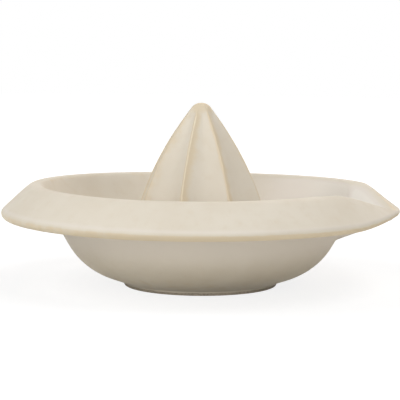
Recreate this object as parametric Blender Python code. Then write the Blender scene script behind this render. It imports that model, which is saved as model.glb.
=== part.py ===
"""Glazed stoneware citrus juicer: a fluted reamer cone standing in a footed dish with a folded rim.

The dish is thrown, its rim is folded out and down, a beak is pulled into the rim for pouring, and
the hollow reamer and the foot ring are luted on with slip. Every member is its own solid here, and
each lute is a gap of the same width. Metres, +Z up, the beak along +X, the table at Z = 0.
"""
from math import atan2, cos, hypot, pi, radians, sin, sqrt, tan

import bmesh
import bpy

# Lute: the room left for slip between two members.
LUTE = 0.0003

# Foot ring: a low coil under the dish, with a flat bottom and an outside that flares into the belly.
FOOT_RADIUS = 0.0382
FOOT_WIDTH = 0.0066
FOOT_HEIGHT = 0.0030
FOOT_CHAMFER = 0.0006
FOOT_LIP = 0.0004
FOOT_LIP_HEIGHT = 0.0020

# Dish: a shallow cone from the foot, a round belly, a straight wall and a level floor inside.
BELLY_SLOPE = radians(19.6)
BELLY_CORNER_RADIUS = 0.0594
BELLY_ROUND = 0.0348
WALL_SLOPE = radians(60.1)
WALL_THICKNESS = 0.0036
FLOOR_THICKNESS = 0.0050
FLOOR_ROUND = 0.0010

# Crest: the fold at the top of the wall.
CREST_HEIGHT = 0.0506
CREST_OVERHANG = 0.0005
CREST_TILT = 0.0002
CREST_SAG = 0.0011
CREST_ROUND = 0.0022
CREST_BEND = 0.13

# Skirt: the rim folded out and down to a rounded edge, and the groove behind it.
SKIRT_WIDTH = 0.0155
SKIRT_DROP = 0.0138
EDGE_RADIUS = 0.0026
EDGE_TOP_TURN = radians(52.0)
EDGE_BOTTOM_TURN = radians(-112.0)
GROOVE_INSET = 0.0025
GROOVE_DEPTH = 0.0041
GROOVE_ROUND = 0.0030

# Beak: the crest runs out and down from two corners into ridges that meet over a soft V channel.
BEAK_HALF_ANGLE = radians(34.0)
DRAWN_HALF_ANGLE = radians(30.0)
TIP_LIFT = 0.0022
TIP_EDGE_RADIUS = 0.0018
TIP_FULLNESS = 0.90
CORNER_ANGLE = radians(23.0)
CORNER_ROUND = 0.0020
NOTCH_INSET = 0.0017
NOTCH_DROP = 0.0100
CHANNEL_SLOPE = radians(21.8)
CHANNEL_KEEL_ROUND = 0.0020
CHANNEL_THICKNESS = 0.0044
RIDGE_ROUND = 0.0020

# Joint between the dish and the folded rim, which dips to pass below the beak.
RIM_JOINT_DROP = 0.0110
BEAK_JOINT_DROP = 0.0264
JOINT_DIP_START = radians(40.0)
JOINT_DIP_END = radians(20.0)

# Reamer: a hollow ogive cone with concave flutes. Its handles are (radius, depth below the apex).
REAMER_HEIGHT = 0.0829
REAMER_LEDGE = 0.0014
REAMER_TIP_RADIUS = 0.0064
REAMER_TIP_ANGLE = radians(52.0)
REAMER_SHOULDER = (0.0272, 0.0300)
REAMER_HIP = (0.0341, 0.0520)
REAMER_RIBS = 8
REAMER_TURN = radians(-3.0)
FLUTE_DEPTH = 0.16
FLUTE_FADE = 0.0090
REAMER_WALL = 0.0038
REAMER_CROWN = 0.0122

# How finely round shapes are divided.
RIM_STEPS = 60
BEAK_STEPS = 22
STEPS_PER_FLUTE = 8
WALL_STEPS = 12
CREST_STEPS = 6
SKIRT_STEPS = 5
EDGE_STEPS = 6
TIP_STEPS = 3
RIB_STEPS = 14
BORE_STEPS = 7

IVORY = (0.72, 0.67, 0.56, 1.0)
SHADED_IVORY = (0.62, 0.57, 0.47, 1.0)
BARE_CLAY = (0.45, 0.38, 0.29, 1.0)
GLAZE_ROUGHNESS = 0.35
CLAY_ROUGHNESS = 0.80
SHARP_ANGLE = radians(40.0)


def soft_min(first, second, round_size):
    """The lower of two heights, with the edge where they cross rounded off."""
    share = min(max(0.5 + 0.5 * (second - first) / round_size, 0.0), 1.0)
    return second * (1 - share) + first * share - round_size * share * (1 - share)


def soft_max(first, second, round_size):
    """The higher of two heights, with the corner where they cross filled."""
    return -soft_min(-first, -second, round_size)


def ease(value):
    """A smooth step from 0 to 1."""
    value = min(max(value, 0.0), 1.0)
    return value * value * (3 - 2 * value)


def mix(first, second, share):
    """The value a share of the way from the first to the second."""
    return first + (second - first) * share


def spread(start, end, steps):
    """Evenly spaced values from start to end, both included."""
    return [mix(start, end, i / steps) for i in range(steps + 1)]


def polar(radius, angle, height):
    """A point given by its distance from the axis, its angle from the beak and its height."""
    return (radius * cos(angle), radius * sin(angle), height)


def from_beak(angle):
    """The angle between a direction and the beak, from 0 to pi."""
    return abs(atan2(sin(angle), cos(angle)))


# The dish's outside is two straight lines with an arc between them, both through one corner point.
belly_start_radius = FOOT_RADIUS + FOOT_LIP
belly_line = FOOT_LIP_HEIGHT - belly_start_radius * tan(BELLY_SLOPE)
corner_height = belly_line + BELLY_CORNER_RADIUS * tan(BELLY_SLOPE)
wall_line = corner_height - BELLY_CORNER_RADIUS * tan(WALL_SLOPE)
floor_height = FOOT_HEIGHT + FLOOR_THICKNESS


def belly_radius(height):
    """Radius of the outside of the dish where its shallow cone reaches a height."""
    return (height - belly_line) / tan(BELLY_SLOPE)


def wall_radius(height):
    """Radius of the outside of the dish where its straight wall reaches a height."""
    return (height - wall_line) / tan(WALL_SLOPE)


def dish_height(radius, inset):
    """Height of the dish's section at a radius, moved inwards from the outside by inset."""
    # The centre of the belly's arc lies BELLY_ROUND away from both lines.
    above_belly = belly_line + BELLY_ROUND / cos(BELLY_SLOPE)
    above_wall = wall_line + BELLY_ROUND / cos(WALL_SLOPE)
    centre = (above_belly - above_wall) / (tan(WALL_SLOPE) - tan(BELLY_SLOPE))
    centre_height = above_belly + centre * tan(BELLY_SLOPE)
    arc = BELLY_ROUND - inset
    if radius < centre + arc * sin(BELLY_SLOPE):
        return belly_line + radius * tan(BELLY_SLOPE) + inset / cos(BELLY_SLOPE)
    if radius < centre + arc * sin(WALL_SLOPE):
        return centre_height - sqrt(arc ** 2 - (radius - centre) ** 2)
    return wall_line + radius * tan(WALL_SLOPE) + inset / cos(WALL_SLOPE)


# Every size of the rim follows from the crest, and every size of the beak from the rim.
crest_radius = wall_radius(CREST_HEIGHT) + CREST_OVERHANG
skirt_radius = crest_radius + SKIRT_WIDTH
skirt_edge_height = CREST_HEIGHT - SKIRT_DROP
tip_height = skirt_edge_height + TIP_LIFT
notch_radius = skirt_radius - NOTCH_INSET
notch_height = CREST_HEIGHT - NOTCH_DROP
corner_x = crest_radius * cos(CORNER_ANGLE)
corner_y = crest_radius * sin(CORNER_ANGLE)


def drawn(angle):
    """How far the edge is drawn into the beak: 1 at the tip, 0 outside the beak."""
    return ease(1 - from_beak(angle) / DRAWN_HALF_ANGLE)


def edge_radius(angle):
    """Radius of the rounded outer edge."""
    return mix(EDGE_RADIUS, TIP_EDGE_RADIUS, drawn(angle))


def edge_height(angle):
    """Height of the middle of the outer edge."""
    return mix(skirt_edge_height, tip_height, drawn(angle))


def rim_radius(angle):
    """Outer radius: a circle whose sides are pulled a little straight where the beak is drawn."""
    turn = from_beak(angle)
    if turn >= DRAWN_HALF_ANGLE:
        return skirt_radius
    side_x = skirt_radius * cos(DRAWN_HALF_ANGLE)
    side_y = skirt_radius * sin(DRAWN_HALF_ANGLE)
    straight = skirt_radius * side_y / (side_y * cos(turn) + (skirt_radius - side_x) * sin(turn))
    return mix(straight, skirt_radius, TIP_FULLNESS)


def edge_point(angle, turn):
    """Radius and height on the rounded outer edge, at a turn up from its outermost line."""
    size = edge_radius(angle)
    return rim_radius(angle) - size * (1 - cos(turn)), edge_height(angle) + size * sin(turn)


def at_beak(angle):
    """True where the channel and its ridges can reach, well past both corners."""
    return from_beak(angle) < 2 * CORNER_ANGLE


def ridge(angle):
    """Radius and height of the straight ridge from the notch over the tip to a corner and past it."""
    turn = from_beak(angle)
    run = corner_y * cos(turn) + (notch_radius - corner_x) * sin(turn)
    share = notch_radius * sin(turn) / run
    # The ridge line comes nearest to the axis here, and past that its distance must not grow again.
    nearest = atan2(notch_radius - corner_x, corner_y)
    distance = notch_radius * cos(nearest)
    lean = cos(turn - nearest)
    radius = distance / lean if turn < nearest else distance * lean
    return radius, mix(notch_height, CREST_HEIGHT, share)


def crest_height(angle):
    """Height of the crest, which sags a little at both sides and tilts a little to the beak."""
    return CREST_HEIGHT - CREST_TILT * cos(angle) - CREST_SAG * sin(angle) ** 2


def crest(angle):
    """Radius and height of the crest: a circle that runs out into the beak's two ridges."""
    height = crest_height(angle)
    if not at_beak(angle):
        return crest_radius, height
    out, down = ridge(angle)
    return soft_max(crest_radius, out, CORNER_ROUND), soft_min(height, down, CORNER_ROUND)


def skirt_height(radius, angle):
    """Upper face of the skirt: level at the crest, bending into a straight slope."""
    start_radius, start_height = crest(angle)
    end_radius, end_height = edge_point(angle, EDGE_TOP_TURN)
    share = max(radius - start_radius, 0.0) / (end_radius - start_radius)
    bend = (hypot(share, CREST_BEND) - CREST_BEND) / (hypot(1.0, CREST_BEND) - CREST_BEND)
    return mix(start_height, end_height, bend)


def channel_height(radius, angle):
    """The beak's V channel, which rises outwards, and to both sides up to the ridges."""
    keel_at_corner = notch_height + (corner_x - notch_radius) * tan(CHANNEL_SLOPE)
    side_slope = (CREST_HEIGHT - keel_at_corner) / corner_y
    keel = notch_height + (radius * cos(angle) - notch_radius) * tan(CHANNEL_SLOPE)
    side = hypot(radius * sin(angle), CHANNEL_KEEL_ROUND) - CHANNEL_KEEL_ROUND
    return keel + side_slope * side


def upper_height(radius, angle):
    """Top of the clay: the inside of the dish, the skirt and the channel."""
    height = soft_min(dish_height(radius, WALL_THICKNESS), skirt_height(radius, angle), CREST_ROUND)
    if at_beak(angle):
        height = soft_min(height, channel_height(radius, angle), RIDGE_ROUND)
    return height


def lower_height(radius, angle):
    """Underside of the clay: the outside of the dish, the skirt's back and the channel's back."""
    end_radius, end_height = edge_point(angle, EDGE_BOTTOM_TURN)
    groove_radius = crest_radius - GROOVE_INSET
    share = (end_radius - radius) / (end_radius - groove_radius)
    back = mix(end_height, crest_height(angle) - GROOVE_DEPTH, share)
    height = soft_min(dish_height(radius, 0.0), back, GROOVE_ROUND)
    if at_beak(angle):
        height = soft_min(height, channel_height(radius, angle) - CHANNEL_THICKNESS, RIDGE_ROUND)
    return height


def joint_dip(angle):
    """0 where the dish meets the rim, 1 where it meets the middle of the beak."""
    return ease((JOINT_DIP_START - from_beak(angle)) / (JOINT_DIP_START - JOINT_DIP_END))


def joint_outside(angle):
    """Radius of the joint with the dish, on the outside of the wall."""
    return wall_radius(CREST_HEIGHT - mix(RIM_JOINT_DROP, BEAK_JOINT_DROP, joint_dip(angle)))


def joint_inside(angle):
    """Radius of the joint with the dish, on the inside of the wall: square across the clay."""
    across_wall = WALL_THICKNESS * sin(WALL_SLOPE)
    across_channel = CHANNEL_THICKNESS * sin(CHANNEL_SLOPE)
    return joint_outside(angle) - mix(across_wall, across_channel, joint_dip(angle))


def joint_step(angle):
    """The lute at that joint, as a change of radius."""
    return LUTE * mix(cos(WALL_SLOPE), cos(CHANNEL_SLOPE), joint_dip(angle))


def rim_section(angle):
    """Closed section of the rim or the beak, from the joint over the crest, the edge and back."""
    inside = spread(joint_inside(angle) + joint_step(angle), crest(angle)[0], CREST_STEPS)
    skirt = spread(crest(angle)[0], edge_point(angle, EDGE_TOP_TURN)[0], SKIRT_STEPS)
    points = [polar(radius, angle, upper_height(radius, angle)) for radius in inside[:-1] + skirt]
    for turn in spread(EDGE_TOP_TURN, EDGE_BOTTOM_TURN, EDGE_STEPS)[1:]:
        radius, height = edge_point(angle, turn)
        points.append(polar(radius, angle, height))
    back = spread(edge_point(angle, EDGE_BOTTOM_TURN)[0], joint_outside(angle) + joint_step(angle),
                  CREST_STEPS + SKIRT_STEPS - 2)
    points += [polar(radius, angle, lower_height(radius, angle)) for radius in back[1:]]
    return points


def dish_section(angle):
    """Closed section of the dish, from its bore under the reamer out along the belly and back."""
    base_radius = belly_radius(FOOT_HEIGHT)
    outside = spread(base_radius, joint_outside(angle), WALL_STEPS)
    inside = spread(joint_inside(angle), base_radius, WALL_STEPS)
    points = [polar(bore_radius, angle, FOOT_HEIGHT), polar(base_radius, angle, FOOT_HEIGHT)]
    points += [polar(radius, angle, lower_height(radius, angle)) for radius in outside[1:]]
    for radius in inside:
        height = soft_max(floor_height, upper_height(radius, angle), FLOOR_ROUND)
        points.append(polar(radius, angle, height))
    points.append(polar(bore_radius, angle, floor_height))
    return points


def foot_section(angle):
    """Closed section of the foot ring."""
    top = FOOT_HEIGHT - LUTE
    bore = FOOT_RADIUS - FOOT_WIDTH
    corners = [(bore, top), (bore, FOOT_CHAMFER), (bore + FOOT_CHAMFER, 0.0),
               (FOOT_RADIUS - FOOT_CHAMFER, 0.0), (FOOT_RADIUS, FOOT_CHAMFER),
               (belly_start_radius, FOOT_LIP_HEIGHT), (belly_radius(top), top)]
    return [polar(radius, angle, height) for radius, height in corners]


# The reamer stands on the level floor, a ledge inside the line where the belly starts to rise.
level_floor_radius = belly_radius(floor_height - WALL_THICKNESS / cos(BELLY_SLOPE) - FLOOR_ROUND)
reamer_radius = level_floor_radius - REAMER_LEDGE
reamer_base = floor_height + LUTE
reamer_top = floor_height + REAMER_HEIGHT
bore_radius = reamer_radius * (1 - FLUTE_DEPTH) - REAMER_WALL


def rib(share):
    """Radius and height along a rib, from the rounded tip, a share of 0, to the base, 1."""
    tip = (REAMER_TIP_RADIUS * sin(REAMER_TIP_ANGLE), REAMER_TIP_RADIUS * (1 - cos(REAMER_TIP_ANGLE)))
    handles = [tip, REAMER_SHOULDER, REAMER_HIP, (reamer_radius, reamer_top - reamer_base)]
    rest = 1 - share
    weights = [rest ** 3, 3 * share * rest ** 2, 3 * share ** 2 * rest, share ** 3]
    radius = sum(weight * handle[0] for weight, handle in zip(weights, handles))
    depth = sum(weight * handle[1] for weight, handle in zip(weights, handles))
    return radius, reamer_top - depth


def rib_radius(height):
    """Radius of a rib at a height, found by halving."""
    low, high = 0.0, 1.0
    for _ in range(30):
        middle = (low + high) / 2
        if rib(middle)[1] > height:
            low = middle
        else:
            high = middle
    return rib(low)[0]


def fluted(radius, height, angle):
    """The radius at an angle, hollowed by the flutes between the ribs, which fade at the tip."""
    across = ((angle - REAMER_TURN) * REAMER_RIBS / (2 * pi)) % 1.0
    hollow = 1 - (2 * across - 1) ** 2
    fade = ease((reamer_top - height) / FLUTE_FADE)
    return radius * (1 - FLUTE_DEPTH * hollow * fade)


def loft(sections, closed):
    """A body through closed sections, either back to the first or capped at both ends."""
    body = bmesh.new()
    rings = [[body.verts.new(point) for point in section] for section in sections]
    pairs = list(zip(rings, rings[1:]))
    if closed:
        pairs.append((rings[-1], rings[0]))
    else:
        body.faces.new(rings[0])
        body.faces.new(rings[-1])
    for ring, following in pairs:
        for i in range(len(ring)):
            j = (i + 1) % len(ring)
            body.faces.new((ring[i], ring[j], following[j], following[i]))
    bmesh.ops.recalc_face_normals(body, faces=body.faces)
    return body


def reamer_body():
    """The fluted outside, and a round hollow inside it that is open at the foot."""
    around = spread(REAMER_TURN, REAMER_TURN + 2 * pi, REAMER_RIBS * STEPS_PER_FLUTE)[:-1]
    outside = []
    for turn in spread(0.0, REAMER_TIP_ANGLE, TIP_STEPS)[1:-1]:
        outside.append((REAMER_TIP_RADIUS * sin(turn), reamer_top - REAMER_TIP_RADIUS * (1 - cos(turn))))
    outside += [rib(share) for share in spread(0.0, 1.0, RIB_STEPS)]
    roof_height = reamer_top - REAMER_CROWN
    inside = [(bore_radius, reamer_base)]
    for height in spread(reamer_base, roof_height, BORE_STEPS)[1:-1]:
        inside.append((rib_radius(height) * (1 - FLUTE_DEPTH) - REAMER_WALL, height))
    body = bmesh.new()
    rings = []
    for radius, height in outside:
        rings.append([body.verts.new(polar(fluted(radius, height, a), a, height)) for a in around])
    for radius, height in inside:
        rings.append([body.verts.new(polar(radius, a, height)) for a in around])
    apex = body.verts.new((0.0, 0.0, reamer_top))
    roof = body.verts.new((0.0, 0.0, roof_height))
    for i in range(len(around)):
        j = (i + 1) % len(around)
        body.faces.new((apex, rings[0][i], rings[0][j]))
        body.faces.new((roof, rings[-1][j], rings[-1][i]))
        for ring, following in zip(rings, rings[1:]):
            body.faces.new((ring[i], following[i], following[j], ring[j]))
    bmesh.ops.recalc_face_normals(body, faces=body.faces)
    return body


def add_member(name, body, colour, roughness):
    """One member as an object, smooth but for its sharp edges, with its own material."""
    mesh = bpy.data.meshes.new(name)
    body.to_mesh(mesh)
    body.free()
    mesh.shade_smooth()
    mesh.set_sharp_from_angle(angle=SHARP_ANGLE)
    finish = bpy.data.materials.new(name + "_finish")
    finish.use_nodes = True
    surface = finish.node_tree.nodes["Principled BSDF"]
    surface.inputs["Base Color"].default_value = colour
    surface.inputs["Roughness"].default_value = roughness
    surface.inputs["Metallic"].default_value = 0.0
    mesh.materials.append(finish)
    bpy.context.collection.objects.link(bpy.data.objects.new(name, mesh))


for old in list(bpy.data.objects):
    bpy.data.objects.remove(old, do_unlink=True)

# The rim and the beak end either side of a lute, and the dish is divided at the same angles.
half_lute = LUTE / (2 * joint_outside(BEAK_HALF_ANGLE))
beak_angles = spread(-BEAK_HALF_ANGLE, BEAK_HALF_ANGLE, BEAK_STEPS)
rim_angles = spread(BEAK_HALF_ANGLE, 2 * pi - BEAK_HALF_ANGLE, RIM_STEPS)
dish_angles = beak_angles[:-1] + rim_angles[:-1]
beak_angles[0] += half_lute
beak_angles[-1] -= half_lute
rim_angles[0] += half_lute
rim_angles[-1] -= half_lute

add_member("foot_ring", loft(map(foot_section, dish_angles), True), BARE_CLAY, CLAY_ROUGHNESS)
add_member("bowl", loft(map(dish_section, dish_angles), True), SHADED_IVORY, GLAZE_ROUGHNESS)
add_member("rim", loft(map(rim_section, rim_angles), False), IVORY, GLAZE_ROUGHNESS)
add_member("spout", loft(map(rim_section, beak_angles), False), IVORY, GLAZE_ROUGHNESS)
add_member("reamer", reamer_body(), IVORY, GLAZE_ROUGHNESS)
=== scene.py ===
# A glazed stoneware citrus juicer on a pale floor, seen a little above table height.
# Metres, +Z up, the beak along +X and the table at Z = 0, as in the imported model.
from math import atan2, cos, hypot, pi, radians, sin, sqrt, tan

import bmesh
import bpy
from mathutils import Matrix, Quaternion, Vector


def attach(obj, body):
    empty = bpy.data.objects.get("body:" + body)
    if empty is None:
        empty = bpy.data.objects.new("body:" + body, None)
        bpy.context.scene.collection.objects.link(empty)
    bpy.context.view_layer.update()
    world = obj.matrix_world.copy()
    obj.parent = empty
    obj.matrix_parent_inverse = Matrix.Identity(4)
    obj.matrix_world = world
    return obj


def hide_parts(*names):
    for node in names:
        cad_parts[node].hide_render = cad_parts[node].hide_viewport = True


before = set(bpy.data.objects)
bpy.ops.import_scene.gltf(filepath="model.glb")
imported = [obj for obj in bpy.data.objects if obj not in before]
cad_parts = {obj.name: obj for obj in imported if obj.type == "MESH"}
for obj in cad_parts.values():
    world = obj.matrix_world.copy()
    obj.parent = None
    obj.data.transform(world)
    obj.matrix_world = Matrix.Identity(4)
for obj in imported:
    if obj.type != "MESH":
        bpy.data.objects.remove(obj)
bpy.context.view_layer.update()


# Foot ring: a low coil of clay under the dish, luted on and turned true. Glaze runs down its outside
# and stops in an uneven line, because the underside is wiped bare so that the pot doesn't stick to
# the kiln shelf.
# The bare clay is kept high up the foot's outside, which paints in the shade where the foot meets the
# table.
FOOT_RADIUS = 0.0382
FOOT_WIDTH = 0.0066
FOOT_HEIGHT = 0.0030
FOOT_ROUND = 0.0006
FOOT_LIP = 0.0004
FOOT_LIP_HEIGHT = 0.0020
FOOT_COLUMNS = 288
BELLY_SLOPE = radians(19.6)
ROUND_STEPS = 6
SHARP_ANGLE = radians(40.0)
MERGE_DISTANCE = 0.000001
LEAST_PITCH = 0.0001

IVORY = (0.755, 0.690, 0.580, 1.0)
PALE_IVORY = (0.785, 0.725, 0.620, 1.0)
WARM_IVORY = (0.740, 0.665, 0.545, 1.0)
# Thick and pooled glaze is painted paler than the body, as light on surfaces that lie in shade.
THICK_IVORY_PAINTED_LIGHT = (0.820, 0.765, 0.695, 1.0)
POOLED_IVORY_PAINTED_LIGHT = (0.865, 0.825, 0.755, 1.0)
TAN = (0.755, 0.648, 0.480, 1.0)
STRAW = (0.880, 0.785, 0.610, 1.0)
CLAY = (0.570, 0.500, 0.400, 1.0)
GRIT = (0.435, 0.370, 0.290, 1.0)

# Thinness of the glaze: 0 is its usual body, and above that the clay shows through tan, then straw. Below 0
# the glaze lies thick and then pooled, and is painted paler there as light.
THICK_GLAZE_PAINTED_LIGHT = -1.0
POOLED_GLAZE_PAINTED_LIGHT = -2.0
TAN_RANGE = (0.05, 0.45)
STRAW_RANGE = (0.60, 0.90)
RAGGEDNESS = 0.5
BEAD_SHARE = 0.4

# Each noise is given by its scale and its detail.
CLOUD_NOISE = (34.0, 3.0)
CLOUD_RANGE = (0.35, 0.65)
MOTTLE_NOISE = (210.0, 4.0)
MOTTLE_RANGE = (0.45, 0.85)
MOTTLE_SHARE = 0.6
PORE_NOISE = (1400.0, 2.0)
PORE_SHARE = 0.15
GRIT_NOISE = (900.0, 5.0)
GRIT_RANGE = (0.42, 0.68)
WAVER_NOISE = (60.0, 2.0)
NOISE_MIDDLE = 0.5

# The bare clay reaches this high up the foot so that it paints in the shade at the table.
GLAZE_LINE = 0.0013
GLAZE_LINE_WAVER = 0.0010
GLAZE_LINE_FADE = (-0.0001, 0.0002)
GLAZE_SHINE = 0.15
ROUGHNESS_MOTTLE = (0.3, 0.7)
GLAZE_ROUGHNESS = (0.56, 0.68)
GLAZE_RELIEF = 0.35
GLAZE_RELIEF_DEPTH = 0.00012
CLAY_ROUGHNESS = 0.88
CLAY_RELIEF = 0.5
CLAY_RELIEF_DEPTH = 0.00015


def spread(start, end, steps):
    """Evenly spaced values from start to end, both included."""
    return [start + (end - start) * i / steps for i in range(steps + 1)]


def add_node(tree, kind, inputs=None, **settings):
    """A node with its settings made, and its inputs set to values or joined to sockets."""
    made = tree.nodes.new(kind)
    for name, value in settings.items():
        setattr(made, name, value)
    for key, value in (inputs or {}).items():
        if isinstance(value, bpy.types.NodeSocket):
            tree.links.new(value, made.inputs[key])
        else:
            made.inputs[key].default_value = value
    return made


def maths(tree, operation, *values):
    """The result of a Math node."""
    return add_node(tree, "ShaderNodeMath", dict(enumerate(values)), operation=operation).outputs[0]


def cloud(tree, scale, detail):
    """Noise that is fixed to the clay, as a value around one half."""
    place = add_node(tree, "ShaderNodeTexCoord").outputs["Object"]
    made = add_node(tree, "ShaderNodeTexNoise", {"Vector": place, "Scale": scale, "Detail": detail})
    return made.outputs["Fac"]


def between(tree, value, low, high, to_low=0.0, to_high=1.0):
    """A value eased from one range to another."""
    made = add_node(tree, "ShaderNodeMapRange", {"Value": value, "From Min": low, "From Max": high,
                                                 "To Min": to_low, "To Max": to_high},
                    interpolation_type="SMOOTHSTEP")
    return made.outputs["Result"]


def blended(tree, share, first, second):
    """One colour over another by a share."""
    made = add_node(tree, "ShaderNodeMix", {0: share, 6: first, 7: second}, data_type="RGBA")
    return made.outputs[2]


def relief(tree, strength, depth, height):
    """The normal of a surface that noise roughens by a depth."""
    made = add_node(tree, "ShaderNodeBump", {"Strength": strength, "Distance": depth, "Height": height})
    return made.outputs["Normal"]


def glaze_nodes(tree):
    """Ivory matt glaze, cloudy and mottled: paler where it lies thick and pooled, which is painted light,
    and tan and then straw where it thins.
    """
    clouds = cloud(tree, *CLOUD_NOISE)
    mottle = cloud(tree, *MOTTLE_NOISE)
    thin = add_node(tree, "ShaderNodeAttribute", attribute_name="thin").outputs["Fac"]
    body = blended(tree, between(tree, clouds, *CLOUD_RANGE), PALE_IVORY, IVORY)
    body = blended(tree, between(tree, mottle, *MOTTLE_RANGE, 0.0, MOTTLE_SHARE), body, WARM_IVORY)
    # Thick and pooled glaze turns the body paler: painted light.
    thick = between(tree, thin, THICK_GLAZE_PAINTED_LIGHT, 0.0, 1.0, 0.0)
    pooled = between(tree, thin, POOLED_GLAZE_PAINTED_LIGHT, THICK_GLAZE_PAINTED_LIGHT, 1.0, 0.0)
    body = blended(tree, pooled, blended(tree, thick, body, THICK_IVORY_PAINTED_LIGHT), POOLED_IVORY_PAINTED_LIGHT)
    off_middle = maths(tree, "SUBTRACT", mottle, NOISE_MIDDLE)
    ragged = maths(tree, "MULTIPLY_ADD", off_middle, RAGGEDNESS, thin)
    colour = blended(tree, between(tree, ragged, *TAN_RANGE), body, TAN)
    colour = blended(tree, between(tree, ragged, *STRAW_RANGE), colour, STRAW)
    roughness = between(tree, mottle, *ROUGHNESS_MOTTLE, *GLAZE_ROUGHNESS)
    height = maths(tree, "MULTIPLY_ADD", cloud(tree, *PORE_NOISE), PORE_SHARE, mottle)
    return colour, roughness, relief(tree, GLAZE_RELIEF, GLAZE_RELIEF_DEPTH, height)


def finish_material(name, make_nodes):
    """A material whose colour, roughness and relief come from nodes."""
    made = bpy.data.materials.new(name)
    made.use_nodes = True
    tree = made.node_tree
    surface = tree.nodes["Principled BSDF"]
    surface.inputs["Specular IOR Level"].default_value = GLAZE_SHINE
    colour, roughness, normal = make_nodes(tree)
    tree.links.new(colour, surface.inputs["Base Color"])
    tree.links.new(roughness, surface.inputs["Roughness"])
    tree.links.new(normal, surface.inputs["Normal"])
    return made


def foot_nodes(tree):
    """Gritty bare clay up to the glaze line, raised high enough to paint in the shade at the table, and the
    same glaze as the dish above it.
    """
    glaze_colour, glaze_roughness, _ = glaze_nodes(tree)
    grit = cloud(tree, *GRIT_NOISE)
    bare = blended(tree, between(tree, grit, *GRIT_RANGE), CLAY, GRIT)
    place = add_node(tree, "ShaderNodeTexCoord").outputs["Object"]
    height = add_node(tree, "ShaderNodeSeparateXYZ", {0: place}).outputs["Z"]
    waver = maths(tree, "MULTIPLY", cloud(tree, *WAVER_NOISE), GLAZE_LINE_WAVER)
    line = maths(tree, "ADD", waver, GLAZE_LINE - GLAZE_LINE_WAVER / 2)
    covered = between(tree, maths(tree, "SUBTRACT", height, line), *GLAZE_LINE_FADE)
    colour = blended(tree, covered, bare, glaze_colour)
    rough = add_node(tree, "ShaderNodeMix", {0: covered, 2: CLAY_ROUGHNESS, 3: glaze_roughness})
    return colour, rough.outputs[0], relief(tree, CLAY_RELIEF, CLAY_RELIEF_DEPTH, grit)


def profile_grid(tree, given):
    """A grid with a column for each direction and a row for each point of the profile, and what the
    profile says there: how far round, the radius, the height and the share of the flutes."""
    rows = add_node(tree, "GeometryNodeAttributeDomainSize", {"Geometry": given["Profile"]})
    last_row = maths(tree, "SUBTRACT", rows.outputs["Point Count"], 1.0)
    grid = add_node(tree, "GeometryNodeMeshGrid", {
        "Size X": 1.0, "Size Y": 1.0,
        "Vertices X": maths(tree, "ADD", given["Columns"], 1.0),
        "Vertices Y": rows.outputs["Point Count"]})
    position = tree.nodes.new("GeometryNodeInputPosition").outputs[0]
    on_grid = add_node(tree, "ShaderNodeSeparateXYZ", {0: position})
    across = maths(tree, "ADD", on_grid.outputs["X"], 0.5)
    up = maths(tree, "ADD", on_grid.outputs["Y"], 0.5)
    row = maths(tree, "ROUND", maths(tree, "MULTIPLY", up, last_row))

    # The input position, read on the profile instead of the grid, is the profile's own place.
    place = add_node(tree, "GeometryNodeSampleIndex", {
        "Geometry": given["Profile"], "Value": position, "Index": row}, data_type="FLOAT_VECTOR")
    drawn_share = add_node(tree, "GeometryNodeInputNamedAttribute", {"Name": "flute"}, data_type="FLOAT")
    share = add_node(tree, "GeometryNodeSampleIndex", {
        "Geometry": given["Profile"], "Value": drawn_share.outputs[0], "Index": row}, data_type="FLOAT")
    drawn = add_node(tree, "ShaderNodeSeparateXYZ", {0: place.outputs[0]}).outputs
    return grid.outputs["Mesh"], across, drawn["X"], drawn["Z"], share.outputs[0]


def ribs_counted(tree, given, across):
    """The way round counted in ribs, with the columns crowded towards each rib's round top."""
    counted = maths(tree, "MULTIPLY", across, given["Ribs"])
    wave = maths(tree, "SINE", maths(tree, "MULTIPLY", counted, 2 * pi))
    return maths(tree, "SUBTRACT", counted, maths(tree, "MULTIPLY", wave, given["Crowding"]))


def flute_depth(tree, given, radius, pitch, to_rib, off_rib):
    """How deep the tool has pressed: a shallow parabola from rib to rib, with a bead left on each."""
    softness = maths(tree, "DIVIDE", given["Rib Round"], pitch)
    squares = maths(tree, "ADD", maths(tree, "MULTIPLY", to_rib, to_rib),
                    maths(tree, "MULTIPLY", softness, softness))
    soft = maths(tree, "SUBTRACT", maths(tree, "SQRT", squares), softness)
    hollow = maths(tree, "MULTIPLY", maths(tree, "MULTIPLY", soft, 4.0), maths(tree, "SUBTRACT", 1.0, soft))
    pressed = maths(tree, "MULTIPLY", hollow, maths(tree, "MULTIPLY", radius, given["Flute Depth"]))
    off_rib_squared = maths(tree, "MULTIPLY", off_rib, off_rib)
    bead_squared = maths(tree, "MULTIPLY", given["Bead Width"], given["Bead Width"])
    beside_bead = maths(tree, "DIVIDE", off_rib_squared, maths(tree, "ADD", off_rib_squared, bead_squared))
    return maths(tree, "MULTIPLY_ADD", beside_bead, given["Bead Height"], pressed)


def near_rib(tree, off_rib, band):
    """1 on a rib, falling to 0 at the edge of a band beside it."""
    left = maths(tree, "SUBTRACT", 1.0, maths(tree, "DIVIDE", off_rib, band))
    return maths(tree, "MAXIMUM", left, 0.0)


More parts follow.
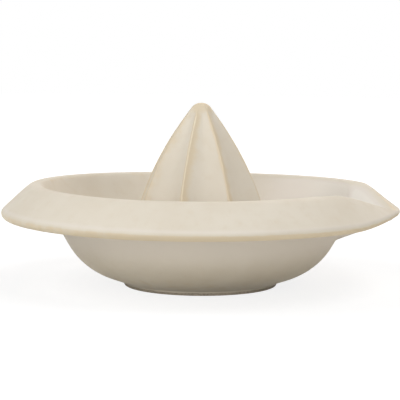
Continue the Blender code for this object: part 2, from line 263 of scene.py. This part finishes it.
def rib_thinness(tree, given, counted, off_rib, fluted):
    """How thin the glaze lies by the ribs: thinnest on the bead, and thin beside it, further out on
    the right of each rib than on the left. Each rib is worn by its own amount."""
    on_right = maths(tree, "LESS_THAN", maths(tree, "FRACT", counted), 0.5)
    band = add_node(tree, "ShaderNodeMix", {0: on_right, 2: given["Left Band"], 3: given["Right Band"]})
    beside = near_rib(tree, off_rib, band.outputs[0])
    bead = maths(tree, "MULTIPLY", near_rib(tree, off_rib, given["Bead Band"]), BEAD_SHARE)
    thin = maths(tree, "MULTIPLY_ADD", beside, 1 - BEAD_SHARE, bead)
    nearest_rib = maths(tree, "FLOORED_MODULO", maths(tree, "ROUND", counted), given["Ribs"])
    wear = add_node(tree, "FunctionNodeRandomValue", {
        2: given["Least Wear"], 3: 1.0, "ID": nearest_rib, "Seed": given["Wear Seed"]}, data_type="FLOAT")
    return maths(tree, "MULTIPLY", thin, maths(tree, "MULTIPLY", fluted, wear.outputs[1]))


def turning_tree():
    """Geometry nodes that turn a profile round the axis and press flutes into its outside."""
    tree = bpy.data.node_groups.new("turned_and_fluted", "GeometryNodeTree")
    tree.interface.new_socket("Profile", in_out="INPUT", socket_type="NodeSocketGeometry")
    for name in ("Columns", "Ribs", "Wear Seed"):
        tree.interface.new_socket(name, in_out="INPUT", socket_type="NodeSocketInt")
    for name in ("Turn", "Flute Depth", "Rib Round", "Bead Height", "Bead Width", "Bead Band", "Left Band",
                 "Right Band", "Least Wear", "Tip Height", "Flute Fade", "Tip Thinning", "Crowding"):
        tree.interface.new_socket(name, in_out="INPUT", socket_type="NodeSocketFloat")
    tree.interface.new_socket("Finish", in_out="INPUT", socket_type="NodeSocketMaterial")
    tree.interface.new_socket("Piece", in_out="OUTPUT", socket_type="NodeSocketGeometry")
    given = tree.nodes.new("NodeGroupInput").outputs

    grid, across, radius, height, share = profile_grid(tree, given)
    counted = ribs_counted(tree, given, across)
    pitch_angle = maths(tree, "DIVIDE", 2 * pi, given["Ribs"])
    pitch = maths(tree, "MAXIMUM", maths(tree, "MULTIPLY", radius, pitch_angle), LEAST_PITCH)
    to_rib = maths(tree, "PINGPONG", counted, 0.5)
    off_rib = maths(tree, "MULTIPLY", to_rib, pitch)
    below_tip = maths(tree, "SUBTRACT", given["Tip Height"], height)
    fade = between(tree, maths(tree, "DIVIDE", below_tip, given["Flute Fade"]), 0.0, 1.0)
    fluted = maths(tree, "MULTIPLY", fade, share)

    pressed = flute_depth(tree, given, radius, pitch, to_rib, off_rib)
    out = maths(tree, "SUBTRACT", radius, maths(tree, "MULTIPLY", pressed, fluted))
    angle = maths(tree, "MULTIPLY_ADD", counted, pitch_angle, given["Turn"])
    point = add_node(tree, "ShaderNodeCombineXYZ", {
        0: maths(tree, "MULTIPLY", out, maths(tree, "COSINE", angle)),
        1: maths(tree, "MULTIPLY", out, maths(tree, "SINE", angle)),
        2: height})

    # The tip is a little thin all over.
    on_tip = maths(tree, "MULTIPLY", between(tree, fade, 0.0, 1.0, 1.0, 0.0), given["Tip Thinning"])
    thin = maths(tree, "MAXIMUM", rib_thinness(tree, given, counted, off_rib, fluted),
                 maths(tree, "MULTIPLY", on_tip, share))
    marked = add_node(tree, "GeometryNodeStoreNamedAttribute", {
        "Geometry": grid, "Name": "thin", "Value": thin}, data_type="FLOAT")
    moved = add_node(tree, "GeometryNodeSetPosition", {
        "Geometry": marked.outputs[0], "Position": point.outputs[0]})
    closed = add_node(tree, "GeometryNodeMergeByDistance", {
        "Geometry": moved.outputs[0], "Distance": MERGE_DISTANCE})
    smooth = add_node(tree, "GeometryNodeSetShadeSmooth", {"Geometry": closed.outputs[0]})
    real = add_node(tree, "GeometryNodeRealizeInstances", {"Geometry": smooth.outputs[0]})
    finished = add_node(tree, "GeometryNodeSetMaterial", {
        "Geometry": real.outputs[0], "Material": given["Finish"]})
    add_node(tree, "NodeGroupOutput", {0: finished.outputs[0]})
    return tree


def turned(name, profile, **values):
    """A piece turned from a profile of (radius, height, share of the flutes) by the turning tree."""
    mesh = bpy.data.meshes.new(name + "_profile")
    points = [(radius, 0.0, height) for radius, height, _ in profile]
    mesh.from_pydata(points, [(i, i + 1) for i in range(len(points) - 1)], [])
    share = mesh.attributes.new("flute", "FLOAT", "POINT")
    share.data.foreach_set("value", [flute for _, _, flute in profile])
    drawing = bpy.data.objects.new(name + "_profile", mesh)
    bpy.context.scene.collection.objects.link(drawing)
    turning = drawing.modifiers.new("turning", "NODES")
    turning.node_group = TURNING
    for item in TURNING.interface.items_tree:
        if item.name in values:
            turning[item.identifier] = values[item.name]
    evaluated = drawing.evaluated_get(bpy.context.evaluated_depsgraph_get())
    body = bmesh.new()
    body.from_mesh(bpy.data.meshes.new_from_object(evaluated))
    bpy.data.objects.remove(drawing)
    return add_piece(name, body, values["Finish"])


def add_piece(name, body, finish):
    """A finished piece at the origin: faces outwards, smooth but for its sharp edges."""
    bmesh.ops.recalc_face_normals(body, faces=body.faces)
    mesh = bpy.data.meshes.new(name)
    body.to_mesh(mesh)
    body.free()
    mesh.materials.clear()
    mesh.materials.append(finish)
    mesh.shade_smooth()
    mesh.set_sharp_from_angle(angle=SHARP_ANGLE)
    piece = bpy.data.objects.new(name, mesh)
    bpy.context.scene.collection.objects.link(piece)
    return piece


def round_corner(centre_radius, centre_height, size, start, end):
    """Points of a profile round a quarter or so of a circle, without flutes."""
    turns = spread(radians(start), radians(end), ROUND_STEPS)
    return [(centre_radius + size * cos(a), centre_height + size * sin(a), 0.0) for a in turns]


TURNING = turning_tree()
belly_start_radius = FOOT_RADIUS + FOOT_LIP
belly_line = FOOT_LIP_HEIGHT - belly_start_radius * tan(BELLY_SLOPE)
foot_bore = FOOT_RADIUS - FOOT_WIDTH
foot_top_radius = (FOOT_HEIGHT - belly_line) / tan(BELLY_SLOPE)
foot_profile = [(foot_bore, FOOT_HEIGHT, 0.0)]
foot_profile += round_corner(foot_bore + FOOT_ROUND, FOOT_ROUND, FOOT_ROUND, 180, 270)
foot_profile += round_corner(FOOT_RADIUS - FOOT_ROUND, FOOT_ROUND, FOOT_ROUND, 270, 360)
foot_profile += [(radius, belly_line + radius * tan(BELLY_SLOPE), 0.0)
                 for radius in spread(belly_start_radius, foot_top_radius, ROUND_STEPS)]
foot_profile.append(foot_profile[0])

foot_ring = turned("foot", foot_profile, Columns=FOOT_COLUMNS, Ribs=1, Turn=0.0,
                   Finish=finish_material("wiped_foot_painted_shade", foot_nodes))
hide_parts("foot_ring")
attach(foot_ring, "root")


# Dish: thrown in one pull, a shallow cone from the foot, then a round belly and a straight wall, with
# a level floor inside. Its clay goes on without a break into the rim and the beak, so the clay's upper
# and lower face are written here once for all three. Glaze pools inside, most of all towards the beak,
# and is painted paler there as light on the inner wall. Outside, it is painted a little tan by the foot as
# shade and paler under the rim as light.
BELLY_CORNER_RADIUS = 0.0594
BELLY_ROUND = 0.0348
WALL_SLOPE = radians(60.1)
WALL_THICKNESS = 0.0036
FLOOR_THICKNESS = 0.0050
FLOOR_ROUND = 0.0010
CREST_HEIGHT = 0.0506
CREST_OVERHANG = 0.0005
CREST_TILT = 0.0002
CREST_SAG = 0.0011
EDGE_SAG = 0.0007
CREST_ROUND = 0.0022
CREST_BEND = 0.13
SKIRT_WIDTH = 0.0154
SKIRT_DROP = 0.0138
EDGE_RADIUS = 0.0026
EDGE_TOP_TURN = radians(52.0)
EDGE_BOTTOM_TURN = radians(-112.0)
GROOVE_INSET = 0.0025
GROOVE_DEPTH = 0.0041
GROOVE_ROUND = 0.0030
BEAK_HALF_ANGLE = radians(34.0)
DRAWN_HALF_ANGLE = radians(30.0)
TIP_LIFT = 0.0022
TIP_EDGE_RADIUS = 0.0018
TIP_FULLNESS = 0.90
CORNER_ANGLE = radians(23.0)
CORNER_ROUND = 0.0020
NOTCH_INSET = 0.0017
NOTCH_DROP = 0.0100
CHANNEL_SLOPE = radians(21.8)
CHANNEL_KEEL_ROUND = 0.0020
CHANNEL_THICKNESS = 0.0044
RIDGE_ROUND = 0.0020
RIM_JOINT_DROP = 0.0110
BEAK_JOINT_DROP = 0.0264
JOINT_DIP_START = radians(40.0)
JOINT_DIP_END = radians(20.0)
BEAK_STEPS = 136
RIM_STEPS = 360
DISH_STEPS = 56
BORE_RADIUS = 0.0302
CREST_THINNING = 0.14
RIDGE_THINNING = 0.26
TIP_RIDGE_THINNING = 0.55
TIP_GAIN = 1.5
RIDGE_BAND = 0.0022
RIDGE_BAND_DROP = 0.0008
LIP_THINNING = 0.12
# On the outside of the dish the glaze is painted a little tan by the foot as shade, and paler up under the
# rim as light.
FOOT_PAINTED_SHADE = 0.1
PAINTED_LIGHT_START = 0.006
PAINTED_LIGHT_FULL = 0.033
# Pooled glaze inside, deepest towards the beak and in the channel, is painted paler as light on the inner
# wall.
PAINTED_LIGHT_POOL_START = radians(100.0)
PAINTED_LIGHT_POOL_FULL = radians(34.0)
PAINTED_LIGHT_POOL_DEPTH = 1.8


def share_of(first, second, round_size):
    """How much of the first counts where two heights meet, from 0 to 1 over the rounded zone."""
    return min(max(0.5 + 0.5 * (second - first) / round_size, 0.0), 1.0)


def soft_min(first, second, round_size):
    """The lower of two heights, with the edge where they cross rounded off."""
    share = share_of(first, second, round_size)
    return second * (1 - share) + first * share - round_size * share * (1 - share)


def soft_max(first, second, round_size):
    """The higher of two heights, with the corner where they cross filled."""
    return -soft_min(-first, -second, round_size)


def ease(value):
    """A smooth step from 0 to 1."""
    value = min(max(value, 0.0), 1.0)
    return value * value * (3 - 2 * value)


def mix(first, second, share):
    """The value a share of the way from the first to the second."""
    return first + (second - first) * share


def hump(share):
    """1 in the middle of a rounded zone and 0 at both its ends."""
    return 4 * share * (1 - share)


def polar(radius, angle, height):
    """A point given by its distance from the axis, its angle from the beak and its height."""
    return (radius * cos(angle), radius * sin(angle), height)


def from_beak(angle):
    """The angle between a direction and the beak, from 0 to pi."""
    return abs(atan2(sin(angle), cos(angle)))


corner_height = belly_line + BELLY_CORNER_RADIUS * tan(BELLY_SLOPE)
wall_line = corner_height - BELLY_CORNER_RADIUS * tan(WALL_SLOPE)
floor_height = FOOT_HEIGHT + FLOOR_THICKNESS


def wall_radius(height):
    """Radius of the outside of the dish where its straight wall reaches a height."""
    return (height - wall_line) / tan(WALL_SLOPE)


def dish_height(radius, inset):
    """Height of the dish's section at a radius, moved inwards from the outside by inset."""
    above_belly = belly_line + BELLY_ROUND / cos(BELLY_SLOPE)
    above_wall = wall_line + BELLY_ROUND / cos(WALL_SLOPE)
    centre = (above_belly - above_wall) / (tan(WALL_SLOPE) - tan(BELLY_SLOPE))
    centre_height = above_belly + centre * tan(BELLY_SLOPE)
    arc = BELLY_ROUND - inset
    if radius < centre + arc * sin(BELLY_SLOPE):
        return belly_line + radius * tan(BELLY_SLOPE) + inset / cos(BELLY_SLOPE)
    if radius < centre + arc * sin(WALL_SLOPE):
        return centre_height - sqrt(arc ** 2 - (radius - centre) ** 2)
    return wall_line + radius * tan(WALL_SLOPE) + inset / cos(WALL_SLOPE)


crest_radius = wall_radius(CREST_HEIGHT) + CREST_OVERHANG
skirt_radius = crest_radius + SKIRT_WIDTH
skirt_edge_height = CREST_HEIGHT - SKIRT_DROP
tip_height = skirt_edge_height + TIP_LIFT
notch_radius = skirt_radius - NOTCH_INSET
notch_height = CREST_HEIGHT - NOTCH_DROP
corner_x = crest_radius * cos(CORNER_ANGLE)
corner_y = crest_radius * sin(CORNER_ANGLE)


def drawn(angle):
    """How far the edge is drawn into the beak: 1 at the tip, 0 outside the beak."""
    return ease(1 - from_beak(angle) / DRAWN_HALF_ANGLE)


def rim_radius(angle):
    """Outer radius: a circle whose sides are pulled a little straight where the beak is drawn."""
    turn = from_beak(angle)
    if turn >= DRAWN_HALF_ANGLE:
        return skirt_radius
    side_x = skirt_radius * cos(DRAWN_HALF_ANGLE)
    side_y = skirt_radius * sin(DRAWN_HALF_ANGLE)
    straight = skirt_radius * side_y / (side_y * cos(turn) + (skirt_radius - side_x) * sin(turn))
    return mix(straight, skirt_radius, TIP_FULLNESS)


def edge_point(angle, turn):
    """Radius and height on the rounded outer edge, at a turn up from its outermost line."""
    size = mix(EDGE_RADIUS, TIP_EDGE_RADIUS, drawn(angle))
    height = mix(skirt_edge_height, tip_height, drawn(angle)) - EDGE_SAG * sin(angle) ** 2
    return rim_radius(angle) - size * (1 - cos(turn)), height + size * sin(turn)


def at_beak(angle):
    """True where the channel and its ridges can reach, well past both corners."""
    return from_beak(angle) < 2 * CORNER_ANGLE


def ridge(angle):
    """Radius and height of the straight ridge from the notch over the tip to a corner and past it."""
    turn = from_beak(angle)
    run = corner_y * cos(turn) + (notch_radius - corner_x) * sin(turn)
    share = notch_radius * sin(turn) / run
    # The ridge line comes nearest to the axis here, and past that its distance must not grow again.
    nearest = atan2(notch_radius - corner_x, corner_y)
    distance = notch_radius * cos(nearest)
    lean = cos(turn - nearest)
    radius = distance / lean if turn < nearest else distance * lean
    return radius, mix(notch_height, CREST_HEIGHT, share)


def crest_height(angle):
    """Height of the crest, which sags a little at both sides and tilts a little to the beak."""
    return CREST_HEIGHT - CREST_TILT * cos(angle) - CREST_SAG * sin(angle) ** 2


def crest(angle):
    """Radius and height of the crest: a circle that runs out into the beak's two ridges."""
    height = crest_height(angle)
    if not at_beak(angle):
        return crest_radius, height
    out, down = ridge(angle)
    return soft_max(crest_radius, out, CORNER_ROUND), soft_min(height, down, CORNER_ROUND)


def skirt_height(radius, angle):
    """Upper face of the skirt: level at the crest, bending into a straight slope."""
    start_radius, start_height = crest(angle)
    end_radius, end_height = edge_point(angle, EDGE_TOP_TURN)
    share = max(radius - start_radius, 0.0) / (end_radius - start_radius)
    bend = (hypot(share, CREST_BEND) - CREST_BEND) / (hypot(1.0, CREST_BEND) - CREST_BEND)
    return mix(start_height, end_height, bend)


def channel_height(radius, angle):
    """The beak's V channel, which rises outwards, and to both sides up to the ridges."""
    keel_at_corner = notch_height + (corner_x - notch_radius) * tan(CHANNEL_SLOPE)
    side_slope = (CREST_HEIGHT - keel_at_corner) / corner_y
    keel = notch_height + (radius * cos(angle) - notch_radius) * tan(CHANNEL_SLOPE)
    side = hypot(radius * sin(angle), CHANNEL_KEEL_ROUND) - CHANNEL_KEEL_ROUND
    return keel + side_slope * side


def upper_face(radius, angle):
    """Height of the clay's upper face, and how thin the glaze lies there: thin on the crest and the
    ridges, and pooled inside the dish and in the channel, where the pooled glaze is painted paler as light."""
    inside = dish_height(radius, WALL_THICKNESS)
    outside = skirt_height(radius, angle)
    inwards = share_of(inside, outside, CREST_ROUND)
    pooled = PAINTED_LIGHT_POOL_DEPTH * ease((PAINTED_LIGHT_POOL_START - from_beak(angle)) / (PAINTED_LIGHT_POOL_START - PAINTED_LIGHT_POOL_FULL))
    thin = CREST_THINNING * hump(inwards)
    thick = pooled * inwards ** 2
    height = soft_min(inside, outside, CREST_ROUND)
    if at_beak(angle):
        channel = channel_height(radius, angle)
        share = share_of(height - RIDGE_BAND_DROP, channel, RIDGE_BAND)
        to_tip = ease(TIP_GAIN * (1 - from_beak(angle) / CORNER_ANGLE))
        thinning = mix(mix(RIDGE_THINNING, TIP_RIDGE_THINNING, to_tip), LIP_THINNING, inwards)
        thin = max(thin * share, thinning * hump(share))
        thick = thick * share + PAINTED_LIGHT_POOL_DEPTH * (1 - share) ** 2
        height = soft_min(height, channel, RIDGE_ROUND)
    return height, thin - thick


def lower_height(radius, angle):
    """Underside of the clay: the outside of the dish, the skirt's back and the channel's back."""
    end_radius, end_height = edge_point(angle, EDGE_BOTTOM_TURN)
    groove_radius = crest_radius - GROOVE_INSET
    share = (end_radius - radius) / (end_radius - groove_radius)
    back = mix(end_height, crest_height(angle) - GROOVE_DEPTH, share)
    height = soft_min(dish_height(radius, 0.0), back, GROOVE_ROUND)
    if at_beak(angle):
        height = soft_min(height, channel_height(radius, angle) - CHANNEL_THICKNESS, RIDGE_ROUND)
    return height


def joint_dip(angle):
    """0 where the dish meets the rim, 1 where it meets the middle of the beak."""
    return ease((JOINT_DIP_START - from_beak(angle)) / (JOINT_DIP_START - JOINT_DIP_END))


def joint_outside(angle):
    """Radius of the joint with the dish, on the outside of the wall."""
    return wall_radius(CREST_HEIGHT - mix(RIM_JOINT_DROP, BEAK_JOINT_DROP, joint_dip(angle)))


def joint_inside(angle):
    """Radius of the joint with the dish, on the inside of the wall: square across the clay."""
    across_wall = WALL_THICKNESS * sin(WALL_SLOPE)
    across_channel = CHANNEL_THICKNESS * sin(CHANNEL_SLOPE)
    return joint_outside(angle) - mix(across_wall, across_channel, joint_dip(angle))


def painted_shade_and_light(height):
    """Painted shade and light on the outside of the dish, carried as a thinness of glaze: a little tan by
    the foot as painted shade, and pale thick glaze under the rim as painted light.
    """
    return mix(FOOT_PAINTED_SHADE, THICK_GLAZE_PAINTED_LIGHT, ease((height - PAINTED_LIGHT_START) / (PAINTED_LIGHT_FULL - PAINTED_LIGHT_START)))


def lower_face(radius, angle):
    """A point of the clay's lower face with its thinness of glaze, which here holds painted shade and
    light.
    """
    height = lower_height(radius, angle)
    return polar(radius, angle, height), painted_shade_and_light(height)


def dish_section(angle):
    """Closed section of the dish with its thinness of glaze, from its bore out along the belly and back."""
    outside = spread(foot_top_radius, joint_outside(angle), DISH_STEPS)
    inside = spread(joint_inside(angle), foot_top_radius, DISH_STEPS)
    points = [(polar(BORE_RADIUS, angle, FOOT_HEIGHT), 0.0)]
    points.append((polar(foot_top_radius, angle, FOOT_HEIGHT), 0.0))
    points += [lower_face(radius, angle) for radius in outside[1:]]
    for radius in inside:
        height, thin = upper_face(radius, angle)
        points.append((polar(radius, angle, soft_max(floor_height, height, FLOOR_ROUND)), thin))
    points.append((polar(BORE_RADIUS, angle, floor_height), 0.0))
    return points


def lofted(name, sections, closed, finish):
    """A piece through closed sections, either back to the first or capped at both ends."""
    body = bmesh.new()
    thinness = body.verts.layers.float.new("thin")
    rings = []
    for section in sections:
        ring = []
        for point, thin in section:
            vertex = body.verts.new(point)
            vertex[thinness] = thin
            ring.append(vertex)
        rings.append(ring)
    pairs = list(zip(rings, rings[1:]))
    if closed:
        pairs.append((rings[-1], rings[0]))
    else:
        body.faces.new(rings[0])
        body.faces.new(rings[-1])
    for ring, following in pairs:
        for i in range(len(ring)):
            j = (i + 1) % len(ring)
            body.faces.new((ring[i], ring[j], following[j], following[i]))
    return add_piece(name, body, finish)


beak_angles = spread(-BEAK_HALF_ANGLE, BEAK_HALF_ANGLE, BEAK_STEPS)
rim_angles = spread(BEAK_HALF_ANGLE, 2 * pi - BEAK_HALF_ANGLE, RIM_STEPS)
dish_angles = beak_angles[:-1] + rim_angles[:-1]

glaze = finish_material("ivory_glaze", glaze_nodes)
dish = lofted("dish", map(dish_section, dish_angles), True, glaze)
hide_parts("bowl")
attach(dish, "root")


# Rim: the top of the wall, folded out and down into a sloping skirt with a round edge that sags a
# little at both sides. Glaze draws back from the edge into a thick roll just above it, painted paler as a
# highlight line, so the clay shows straw and tan through it below the roll, and faintly along the crest.
# The tan band runs on round the underside of the edge, where it stands in for shade.
CREST_STEPS = 22
SKIRT_STEPS = 20
EDGE_STEPS = 16
SKIRT_SLOPE = radians(38.0)
THIN_REACH = 0.0012
THIN_REACH_BEHIND = 0.0026
THIN_REACH_START = radians(30.0)
THIN_REACH_FULL = radians(140.0)
THIN_FADE = 0.0024
# The band's tan runs on under the edge as painted shade, and the roll above it is painted paler as a
# highlight.
EDGE_THINNING_AND_SHADE = 0.66
EDGE_THINNING_AND_SHADE_BEHIND = 0.28
ROLL_PAINTED_HIGHLIGHT = 0.5
ROLL_HIGHLIGHT_WIDTH = 0.0025


def edge_glaze_and_painted_light(path, angle):
    """Thinness of the glaze at a distance up from the edge's middle: a thick roll, painted pale as a
    highlight, over a thin band that runs on under the edge as painted shade.
    """
    around = ease((from_beak(angle) - THIN_REACH_START) / (THIN_REACH_FULL - THIN_REACH_START))
    below_roll = mix(THIN_REACH, THIN_REACH_BEHIND, around) - path
    roll = -ROLL_PAINTED_HIGHLIGHT * ease(1 + below_roll / ROLL_HIGHLIGHT_WIDTH)
    band = mix(EDGE_THINNING_AND_SHADE, EDGE_THINNING_AND_SHADE_BEHIND, around)
    return mix(roll, band, ease(below_roll / THIN_FADE))


def rim_section(angle):
    """Closed section of the rim or the beak, from the joint over the crest, the edge and back."""
    inside = spread(joint_inside(angle), crest(angle)[0], CREST_STEPS)
    skirt = spread(crest(angle)[0], edge_point(angle, EDGE_TOP_TURN)[0], SKIRT_STEPS)
    round_path = EDGE_RADIUS * EDGE_TOP_TURN
    points = []
    for radius in inside[:-1] + skirt:
        height, thin = upper_face(radius, angle)
        if radius > crest(angle)[0]:
            thin += edge_glaze_and_painted_light(round_path + (skirt[-1] - radius) / cos(SKIRT_SLOPE), angle)
        points.append((polar(radius, angle, height), thin))
    for turn in spread(EDGE_TOP_TURN, EDGE_BOTTOM_TURN, EDGE_STEPS)[1:]:
        radius, height = edge_point(angle, turn)
        points.append((polar(radius, angle, height), edge_glaze_and_painted_light(EDGE_RADIUS * turn, angle)))
    back = spread(edge_point(angle, EDGE_BOTTOM_TURN)[0], joint_outside(angle), CREST_STEPS + SKIRT_STEPS)
    points += [lower_face(radius, angle) for radius in back[1:]]
    return points


rim = lofted("folded_rim", map(rim_section, rim_angles), False, glaze)
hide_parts("rim")
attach(rim, "root")


# Beak: the potter draws the soft rim out and down between two fingers, which leaves a V channel
# between two ridges. It has the same clay and the same glaze, tan on the ridges and pooled between, where
# the paler pooled glaze is painted light.
beak = lofted("pouring_beak", map(rim_section, beak_angles), False, glaze)
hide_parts("spout")
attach(beak, "root")


# Reamer: a hollow ogive cone, thrown apart, with eight ribs between pressed flutes, luted onto the
# floor of the dish. The glaze breaks tan along each rib and gathers in a cove round the foot.
REAMER_HEIGHT = 0.0829
REAMER_LEDGE = 0.0014
REAMER_TIP_RADIUS = 0.0064
REAMER_TIP_ANGLE = radians(52.0)
REAMER_SHOULDER = (0.0272, 0.0300)
REAMER_HIP = (0.0341, 0.0520)
REAMER_RIBS = 8
REAMER_TURN = radians(-3.0)
FLUTE_DEPTH = 0.150
FLUTE_FADE = 0.0090
RIB_ROUND = 0.00035
BEAD_BAND = 0.0008
LEFT_BAND = 0.0014
RIGHT_BAND = 0.0050
LEAST_WEAR = 0.40
WEAR_SEED = 191
BEAD_HEIGHT = 0.00040
BEAD_WIDTH = 0.00080
TIP_THINNING = 0.40
REAMER_WALL = 0.0038
REAMER_CROWN = 0.0122
COVE_HEIGHT = 0.0016
COVE_WIDTH = 0.0011
COLUMNS_PER_FLUTE = 40
CROWDING = 0.11
TIP_STEPS = 14
RIB_STEPS = 90
BASE_STEPS = 4
BORE_STEPS = 20

level_floor_height = floor_height - WALL_THICKNESS / cos(BELLY_SLOPE) - FLOOR_ROUND
reamer_radius = (level_floor_height - belly_line) / tan(BELLY_SLOPE) - REAMER_LEDGE
reamer_top = floor_height + REAMER_HEIGHT


def rib(share):
    """Radius and height along a rib, from the rounded tip, a share of 0, to the foot, 1."""
    tip = (REAMER_TIP_RADIUS * sin(REAMER_TIP_ANGLE), REAMER_TIP_RADIUS * (1 - cos(REAMER_TIP_ANGLE)))
    handles = [tip, REAMER_SHOULDER, REAMER_HIP, (reamer_radius, REAMER_HEIGHT)]
    rest = 1 - share
    weights = [rest ** 3, 3 * share * rest ** 2, 3 * share ** 2 * rest, share ** 3]
    radius = sum(weight * handle[0] for weight, handle in zip(weights, handles))
    depth = sum(weight * handle[1] for weight, handle in zip(weights, handles))
    return radius, reamer_top - depth


reamer_profile = [(REAMER_TIP_RADIUS * sin(turn), reamer_top - REAMER_TIP_RADIUS * (1 - cos(turn)), 1.0)
                  for turn in spread(0.0, REAMER_TIP_ANGLE, TIP_STEPS)[:-1]]
for share in spread(0.0, 1.0, RIB_STEPS):
    radius, height = rib(share)
    cove = max(1 - (height - floor_height) / COVE_HEIGHT, 0.0)
    reamer_profile.append((radius + COVE_WIDTH * cove ** 2, height, 1.0))
foot_radius = reamer_profile[-1][0]
bore_foot_radius = reamer_radius * (1 - FLUTE_DEPTH) - REAMER_WALL
for share in spread(0.0, 1.0, BASE_STEPS)[1:]:
    reamer_profile.append((mix(foot_radius, bore_foot_radius, share), floor_height, 1 - share))
for share in spread(1.0, 0.0, BORE_STEPS)[1:]:
    radius, height = rib(share)
    inner = radius * (1 - FLUTE_DEPTH) - REAMER_WALL
    if height < reamer_top - REAMER_CROWN and inner > 0.0:
        reamer_profile.append((inner, height, 0.0))
reamer_profile.append((0.0, reamer_top - REAMER_CROWN, 0.0))

values = {"Columns": REAMER_RIBS * COLUMNS_PER_FLUTE, "Ribs": REAMER_RIBS, "Turn": REAMER_TURN,
          "Flute Depth": FLUTE_DEPTH, "Rib Round": RIB_ROUND, "Bead Height": BEAD_HEIGHT,
          "Bead Width": BEAD_WIDTH, "Bead Band": BEAD_BAND, "Left Band": LEFT_BAND,
          "Right Band": RIGHT_BAND, "Least Wear": LEAST_WEAR, "Wear Seed": WEAR_SEED,
          "Tip Thinning": TIP_THINNING, "Tip Height": reamer_top, "Flute Fade": FLUTE_FADE,
          "Crowding": CROWDING, "Finish": glaze}
reamer = turned("fluted_reamer", reamer_profile, **values)
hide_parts("reamer")
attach(reamer, "root")


# Floor: a plain sheet of pale matt board, which throws light up under the dish. The camera sees it as
# white as the backdrop behind it, but for a faint shadow close to the juicer.
FLOOR_SIZE = 6.0
FLOOR_COLOUR = (0.84, 0.82, 0.76, 1.0)
SHADOW_COLOUR = (0.22, 0.22, 0.22, 1.0)
SHADOW_WHITENING = 0.84
SHADOW_REACH = (0.10, 0.30)
WHITE = (1.0, 1.0, 1.0, 1.0)


def seen_directly(tree):
    """1 for what the camera sees itself, in a reflection or through something clear, and 0 for light."""
    path = tree.nodes.new("ShaderNodeLightPath").outputs
    seen = maths(tree, "MAXIMUM", path["Is Camera Ray"], path["Is Glossy Ray"])
    return maths(tree, "MAXIMUM", seen, path["Is Transmission Ray"])


floor_material = bpy.data.materials.new("pale_board")
floor_material.use_nodes = True
board = floor_material.node_tree
surface = board.nodes["Principled BSDF"]
surface.inputs["Roughness"].default_value = 1.0
surface.inputs["Specular IOR Level"].default_value = 0.0
surface.inputs["Emission Color"].default_value = WHITE
seen = seen_directly(board)
board.links.new(blended(board, seen, FLOOR_COLOUR, SHADOW_COLOUR), surface.inputs["Base Color"])
place = add_node(board, "ShaderNodeTexCoord").outputs["Object"]
away = add_node(board, "ShaderNodeVectorMath", {0: place}, operation="LENGTH").outputs["Value"]
whitening = between(board, away, *SHADOW_REACH, SHADOW_WHITENING, 1.0)
board.links.new(maths(board, "MULTIPLY", seen, whitening), surface.inputs["Emission Strength"])
sheet = bmesh.new()
bmesh.ops.create_grid(sheet, x_segments=1, y_segments=1, size=FLOOR_SIZE / 2)
floor_mesh = bpy.data.meshes.new("floor")
sheet.to_mesh(floor_mesh)
sheet.free()
floor_mesh.materials.append(floor_material)
floor = bpy.data.objects.new("floor", floor_mesh)
bpy.context.scene.collection.objects.link(floor)

world = bpy.data.worlds.new("studio")
world.use_nodes = True
sky = world.node_tree.nodes["Background"]
sky.inputs["Color"].default_value = WHITE
world.node_tree.links.new(seen_directly(world.node_tree), sky.inputs["Strength"])
bpy.context.scene.world = world


# Lamps: soft boxes. The key stands high at the right, one lights the left side, a warm one shines over
# the far rim, and two low ones in front light the dish's outside.
CAMERA_TURN = radians(15.1)
LAMP_DISTANCE = 1.4
LAMP_SIZE = 0.8
WHITE_LIGHT = (1.0, 1.0, 1.0)
WARM_LIGHT = (1.0, 0.88, 0.79)
LAMPS = {
    "key": {"turn": 45.0, "rise": 58.0, "power": 9.4, "colour": WHITE_LIGHT},
    "left": {"turn": -75.0, "rise": 38.0, "power": 9.3, "colour": WHITE_LIGHT},
    "far_right": {"turn": 150.0, "rise": 38.0, "power": 6.6, "colour": WARM_LIGHT},
    "low_front": {"turn": -20.0, "rise": 4.0, "power": 6.4, "colour": WHITE_LIGHT},
    "low_right": {"turn": 45.0, "rise": 4.0, "power": 2.5, "colour": WHITE_LIGHT},
}
AIM = Vector((0.0, 0.0, 0.0423))


def direction(turn, rise):
    """The way from the aim, turned from the beak's cross axis towards the beak, and raised."""
    return Vector((sin(turn) * cos(rise), -cos(turn) * cos(rise), sin(rise)))


for name, lamp in LAMPS.items():
    light = bpy.data.lights.new(name, "AREA")
    light.shape = "SQUARE"
    light.size = LAMP_SIZE
    light.energy = lamp["power"]
    light.color = lamp["colour"]
    holder = bpy.data.objects.new(name, light)
    back = direction(CAMERA_TURN + radians(lamp["turn"]), radians(lamp["rise"]))
    holder.location = AIM + back * LAMP_DISTANCE
    holder.rotation_mode = "QUATERNION"
    holder.rotation_quaternion = (-back).to_track_quat("-Z", "Y")
    bpy.context.scene.collection.objects.link(holder)


# Camera: a long lens three quarters of a metre away, a little above the table, leaning by a third of a
# degree, with the beak turned towards it.
CAMERA_RISE = radians(5.7)
CAMERA_DISTANCE = 0.750
CAMERA_LEAN = radians(0.33)
LENS = 135.0
SENSOR = 36.0
PHOTO_WIDTH = 400
SHIFT_IN_PIXELS = -0.8

camera_data = bpy.data.cameras.new("camera")
camera_data.lens = LENS
camera_data.sensor_width = SENSOR
camera_data.shift_x = SHIFT_IN_PIXELS / PHOTO_WIDTH
camera = bpy.data.objects.new("camera", camera_data)
back = direction(CAMERA_TURN, CAMERA_RISE)
camera.location = AIM + back * CAMERA_DISTANCE
camera.rotation_mode = "QUATERNION"
camera.rotation_quaternion = (-back).to_track_quat("-Z", "Y") @ Quaternion((0.0, 0.0, 1.0), CAMERA_LEAN)
bpy.context.scene.collection.objects.link(camera)
bpy.context.scene.camera = camera
bpy.context.scene.view_settings.view_transform = "Standard"
